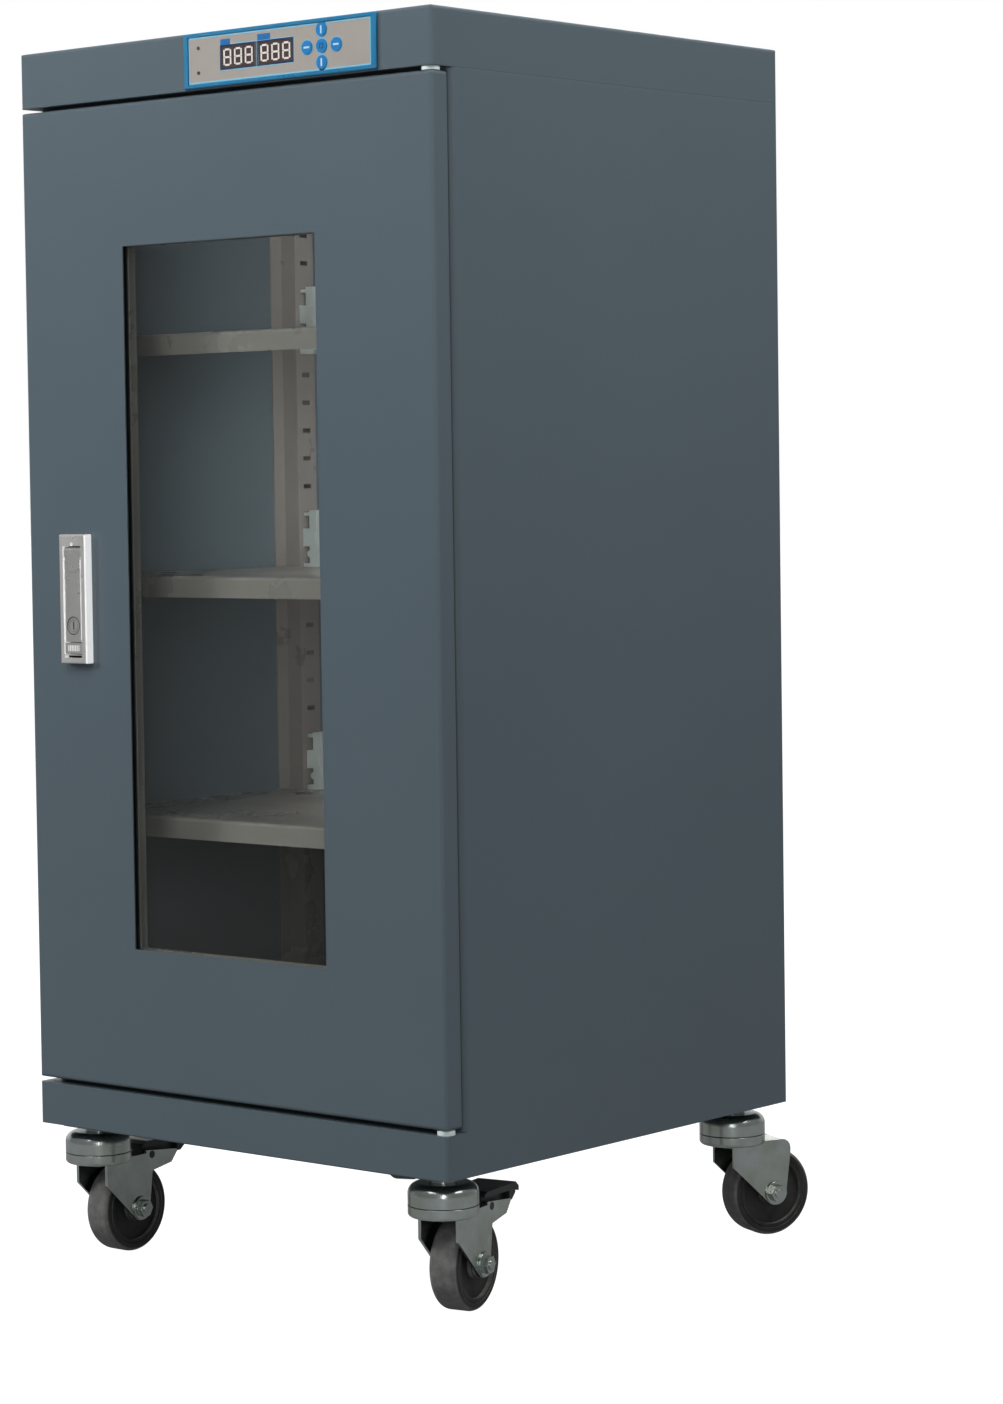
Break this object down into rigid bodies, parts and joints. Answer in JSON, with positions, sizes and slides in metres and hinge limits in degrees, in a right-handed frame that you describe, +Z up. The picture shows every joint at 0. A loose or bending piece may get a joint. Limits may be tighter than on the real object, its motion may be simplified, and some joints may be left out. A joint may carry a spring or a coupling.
{
  "type": "camera dry cabinet",
  "caption": "Slate grey steel dry cabinet for cameras and lenses, glazed locking door, three shelves, display panel in the cap, four swivel casters",
  "frame": {"origin": "on the floor under the middle of the whole outline, casters and handle included", "axes": "+X to the right seen from the front, +Y to the back, +Z up"},
  "size_m": [0.4584, 0.491, 1.01],
  "materials": {
    "slate_coat": "slate grey powder coat, fine orange peel",
    "inside_coat": "dark grey powder coat, semi-gloss",
    "zinc_plate": "bright bluish zinc plate",
    "satin_chrome": "satin chrome on cast zinc",
    "window_glass": "clear toughened glass",
    "black_rubber": "matte black",
    "wheel_rubber": "dark grey tread, black sides",
    "black_plastic": "matte black",
    "white_plastic": "natural white moulding",
    "board_green": "green board",
    "panel_blue": "printed cyan blue",
    "panel_grey": "printed warm grey",
    "key_blue": "bright blue",
    "display_dark": "tinted dark brown",
    "digit_white": "warm white segments"
  },
  "bodies": {
    "cabinet": {"side_panel_left": "slate_coat", "side_panel_right": "slate_coat", "back_panel": "slate_coat", "floor_pan": "inside_coat", "plinth_front": "slate_coat", "base_plate": "slate_coat", "ceiling_pan": "inside_coat", "top_cover": "slate_coat", "upright_fl": "inside_coat", "upright_fr": "inside_coat", "upright_bl": "inside_coat", "upright_br": "inside_coat", "shelf_upper": "inside_coat", "shelf_middle": "inside_coat", "shelf_lower": "inside_coat", "shelf_clips": "white_plastic", "dryer_housing": "inside_coat", "dryer_cartridge": "white_plastic", "humidity_probe": "white_plastic", "control_board": "board_green", "power_inlet": "black_plastic", "fascia_frame": "panel_blue", "fascia_face": "panel_grey", "display_windows": "display_dark", "display_digits": "digit_white", "status_lamps": "display_dark", "back_screws": "zinc_plate", "hinge_pins": "white_plastic", "strike_plate": "zinc_plate", "caster_stems": "zinc_plate"},
    "door": {"door_shell": "slate_coat", "door_inner": "inside_coat", "window_glass": "window_glass", "glass_gasket": "black_rubber", "door_seal": "black_rubber", "hinge_bushes": "white_plastic", "escutcheon": "satin_chrome"},
    "lever": {"handle_lever": "satin_chrome"},
    "key": {"key_plug": "satin_chrome"},
    "release": {"release_button": "satin_chrome"},
    "latch": {"latch_cam": "zinc_plate"},
    "key_up_cap": {"key_up": "key_blue"},
    "key_down_cap": {"key_down": "key_blue"},
    "key_left_cap": {"key_left": "key_blue"},
    "key_right_cap": {"key_right": "key_blue"},
    "key_centre_cap": {"key_centre": "key_blue"},
    "caster_fl": {"fork_fl": "zinc_plate", "axle_fl": "zinc_plate"},
    "wheel_fl_body": {"wheel_fl": "wheel_rubber"},
    "caster_fr": {"fork_fr": "zinc_plate", "axle_fr": "zinc_plate"},
    "wheel_fr_body": {"wheel_fr": "wheel_rubber"},
    "caster_bl": {"fork_bl": "zinc_plate", "axle_bl": "zinc_plate"},
    "wheel_bl_body": {"wheel_bl": "wheel_rubber"},
    "caster_br": {"fork_br": "zinc_plate", "axle_br": "zinc_plate"},
    "wheel_br_body": {"wheel_br": "wheel_rubber"},
    "brake_fl": {"pedal_fl": "black_plastic"},
    "brake_fr": {"pedal_fr": "black_plastic"}
  },
  "joints": [
    {"name": "door_swing", "type": "hinge", "parent": "cabinet", "child": "door", "pos_m": [0.217, -0.23029, 0.5575], "axis": [0, 0, 1], "range_deg": [0, 125]},
    {"name": "lever_lift", "type": "hinge", "parent": "door", "child": "lever", "pos_m": [-0.1665, -0.24299, 0.598], "axis": [-1, 0, 0], "range_deg": [0, 38]},
    {"name": "key_turn", "type": "hinge", "parent": "lever", "child": "key", "pos_m": [-0.1665, -0.24229, 0.5355], "axis": [0, 1, 0], "range_deg": [0, 90]},
    {"name": "latch_turn", "type": "hinge", "parent": "door", "child": "latch", "pos_m": [-0.1665, -0.22329, 0.5355], "axis": [0, 1, 0], "range_deg": [0, 90]},
    {"name": "release_press", "type": "slide", "parent": "door", "child": "release", "axis": [0, 1, 0], "range_m": [0, 0.002], "stiffness_N_per_m": 600},
    {"name": "key_up_press", "type": "slide", "parent": "cabinet", "child": "key_up_cap", "axis": [0, 1, 0], "range_m": [0, 0.0006], "stiffness_N_per_m": 800},
    {"name": "key_down_press", "type": "slide", "parent": "cabinet", "child": "key_down_cap", "axis": [0, 1, 0], "range_m": [0, 0.0006], "stiffness_N_per_m": 800},
    {"name": "key_left_press", "type": "slide", "parent": "cabinet", "child": "key_left_cap", "axis": [0, 1, 0], "range_m": [0, 0.0006], "stiffness_N_per_m": 800},
    {"name": "key_right_press", "type": "slide", "parent": "cabinet", "child": "key_right_cap", "axis": [0, 1, 0], "range_m": [0, 0.0006], "stiffness_N_per_m": 800},
    {"name": "key_centre_press", "type": "slide", "parent": "cabinet", "child": "key_centre_cap", "axis": [0, 1, 0], "range_m": [0, 0.0006], "stiffness_N_per_m": 800},
    {"name": "swivel_fl", "type": "hinge", "parent": "cabinet", "child": "caster_fl", "pos_m": [-0.191, -0.20429, 0.085], "axis": [0, 0, 1], "continuous": true},
    {"name": "roll_fl", "type": "hinge", "parent": "caster_fl", "child": "wheel_fl_body", "pos_m": [-0.19178, -0.1723, 0.0375], "axis": [0.9997, 0.0244, 0], "continuous": true},
    {"name": "swivel_fr", "type": "hinge", "parent": "cabinet", "child": "caster_fr", "pos_m": [0.191, -0.20429, 0.085], "axis": [0, 0, 1], "continuous": true},
    {"name": "roll_fr", "type": "hinge", "parent": "caster_fr", "child": "wheel_fr_body", "pos_m": [0.18473, -0.17291, 0.0375], "axis": [0.9806, 0.1959, 0], "continuous": true},
    {"name": "swivel_bl", "type": "hinge", "parent": "cabinet", "child": "caster_bl", "pos_m": [-0.191, 0.17771, 0.085], "axis": [0, 0, 1], "continuous": true},
    {"name": "roll_bl", "type": "hinge", "parent": "caster_bl", "child": "wheel_bl_body", "pos_m": [-0.20402, 0.20695, 0.0375], "axis": [0.9135, 0.4067, 0], "continuous": true},
    {"name": "swivel_br", "type": "hinge", "parent": "cabinet", "child": "caster_br", "pos_m": [0.191, 0.17771, 0.085], "axis": [0, 0, 1], "continuous": true},
    {"name": "roll_br", "type": "hinge", "parent": "caster_br", "child": "wheel_br_body", "pos_m": [0.20402, 0.20695, 0.0375], "axis": [0.9135, -0.4067, 0], "continuous": true},
    {"name": "brake_press_fl", "type": "hinge", "parent": "caster_fl", "child": "brake_fl", "pos_m": [-0.19212, -0.1583, 0.081], "axis": [-0.9997, -0.0244, 0], "range_deg": [0, 10]},
    {"name": "brake_press_fr", "type": "hinge", "parent": "caster_fr", "child": "brake_fr", "pos_m": [0.18199, -0.15918, 0.081], "axis": [-0.9806, -0.1959, 0], "range_deg": [0, 10]}
  ],
  "couplings": [
    {"joint": "latch_turn", "follows": "key_turn", "ratio": 1}
  ]
}
